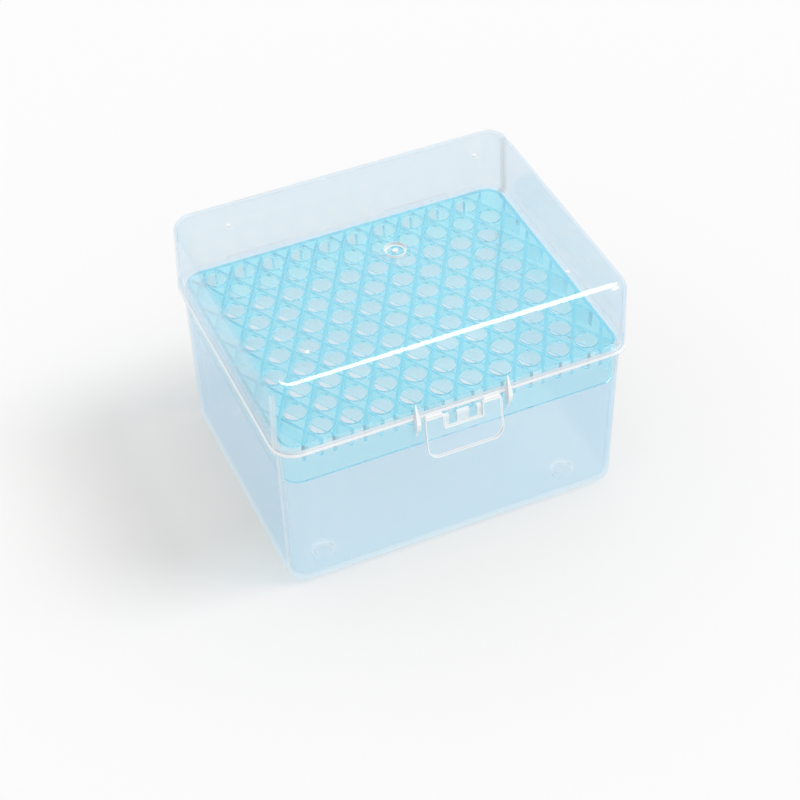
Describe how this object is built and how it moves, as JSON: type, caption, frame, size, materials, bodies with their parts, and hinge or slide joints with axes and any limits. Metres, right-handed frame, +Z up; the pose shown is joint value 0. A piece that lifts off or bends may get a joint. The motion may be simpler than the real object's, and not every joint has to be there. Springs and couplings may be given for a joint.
{
  "type": "pipette tip box",
  "caption": "Closed clear box with a hinged lid, a front latch tab and a pale blue perforated rack for pipette tips inside.",
  "frame": {"origin": "middle of the outline on the table, under the feet; the middle of the box itself is 1.6 mm behind it", "axes": "+X to the right along the front, +Y to the rear hinge, +Z up"},
  "size_m": [0.1256, 0.1072, 0.0894],
  "materials": {
    "clear_pp": "translucent natural polypropylene, smooth",
    "blue_pp": "pale blue translucent polypropylene, smooth"
  },
  "bodies": {
    "base": {"base": "clear_pp", "rack": "blue_pp"},
    "lid": {"lid": "clear_pp"},
    "latch": {"latch": "clear_pp"}
  },
  "joints": [
    {"name": "lid_hinge", "type": "hinge", "parent": "base", "child": "lid", "pos_m": [0, 0.0532, 0.06225], "axis": [-1, 0, 0], "range_deg": [0, 180]},
    {"name": "latch_hinge", "type": "hinge", "parent": "lid", "child": "latch", "pos_m": [0, -0.04985, 0.06225], "axis": [-1, 0, 0], "range_deg": [0, 110]}
  ]
}
